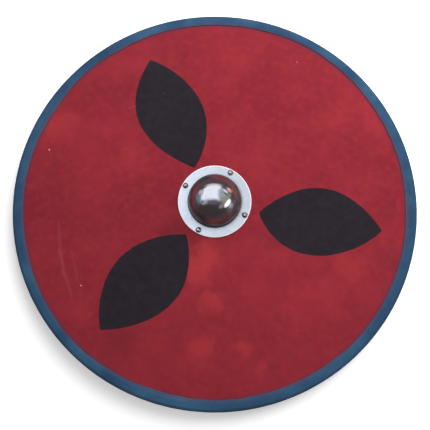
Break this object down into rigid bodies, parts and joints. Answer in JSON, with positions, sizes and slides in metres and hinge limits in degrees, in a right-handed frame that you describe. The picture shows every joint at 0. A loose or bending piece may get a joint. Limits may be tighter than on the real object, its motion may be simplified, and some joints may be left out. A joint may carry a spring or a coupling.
{
  "type": "wooden round shield",
  "caption": "Flat round wooden shield painted red with black leaf shapes, blue leather edging, a hollow domed steel boss and a wooden grip across the hand hole.",
  "frame": {"origin": "middle of the grip's flat back, the lowest point of the shield as it lies on its back", "axes": "+Z out of the painted face through the top of the boss, +Y along the grip, +X across the grip"},
  "size_m": [0.82, 0.82, 0.0956],
  "materials": {
    "painted_board": "matte red paint on wood, black leaf shapes, bare wood behind",
    "painted_edging": "matte blue paint on leather",
    "boss_steel": "satin flange, polished dome",
    "grip_wood": "oiled bare wood",
    "rivet_steel": "polished, a little tarnished"
  },
  "bodies": {
    "root": {"board": "painted_board", "rim_edging": "painted_edging", "boss": "boss_steel", "grip": "grip_wood", "rivet_1": "rivet_steel", "rivet_2": "rivet_steel", "rivet_3": "rivet_steel", "rivet_4": "rivet_steel"}
  },
  "joints": []
}
